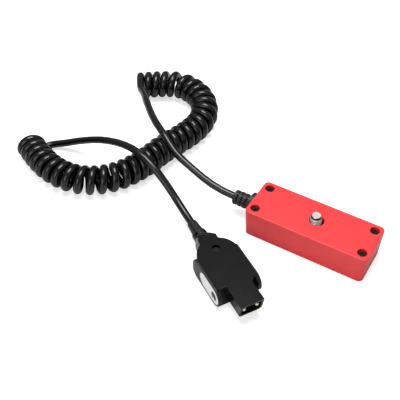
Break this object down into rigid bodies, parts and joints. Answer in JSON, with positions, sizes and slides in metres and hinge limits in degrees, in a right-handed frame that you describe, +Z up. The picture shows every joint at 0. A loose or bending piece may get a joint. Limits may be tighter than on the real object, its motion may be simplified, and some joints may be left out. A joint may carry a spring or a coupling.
{
  "type": "camera release box on a coiled cord",
  "caption": "Red painted hand box with a threaded mounting stud, on a coiled black cord that ends in a flat two-pin plug.",
  "frame": {"origin": "centre of the box's base, on the surface that the box, the cord and the plug lie on", "axes": "+X along the box, away from its cord; +Y to the box's wall that carries the button; +Z up, along the mounting stud"},
  "size_m": [0.2142, 0.1494, 0.027],
  "materials": {
    "red_paint": "satin",
    "black_screw": "gloss",
    "nickel": "satin",
    "spring_steel": "brushed",
    "black_plastic": "matte",
    "button_plastic": "gloss",
    "brass": "satin",
    "black_rubber": "matte",
    "cord_jacket": "gloss",
    "wire_insulation": "matte",
    "white_nylon": "matte"
  },
  "bodies": {
    "box": {"case": "red_paint", "lid": "red_paint", "lid_screws": "black_screw", "screw_bush": "nickel", "switch_body": "black_plastic", "switch_nut": "brass", "button_spring": "spring_steel", "switch_base": "black_plastic", "switch_terminals": "brass", "strain_relief": "black_rubber", "cord_tail": "cord_jacket", "cord_tie": "white_nylon", "inner_wires": "wire_insulation", "box_lead": "cord_jacket", "coil": "cord_jacket", "plug_lead": "cord_jacket", "plug_boot": "black_rubber", "plug_cord_tail": "cord_jacket", "plug_top_shell": "black_plastic", "plug_bottom_shell": "black_plastic", "plug_screw": "black_screw", "pin_block": "black_plastic", "contact_pins": "brass", "plug_wires": "wire_insulation", "side_pads": "black_rubber", "side_plates": "spring_steel", "side_rivets": "black_rubber"},
    "mounting_screw": {"mounting_screw": "nickel", "retaining_clip": "spring_steel"},
    "button": {"push_button": "button_plastic", "contact_bridge": "brass"}
  },
  "joints": [
    {"name": "screw_turn", "type": "hinge", "parent": "box", "child": "mounting_screw", "pos_m": [0.0009, 0, 0.0179], "axis": [0, 0, 1], "continuous": true},
    {"name": "button_press", "type": "slide", "parent": "box", "child": "button", "axis": [0, -1, 0], "range_m": [0, 0.0015], "stiffness_N_per_m": 450, "springref_m": -0.002, "deforming": ["button_spring"]}
  ]
}
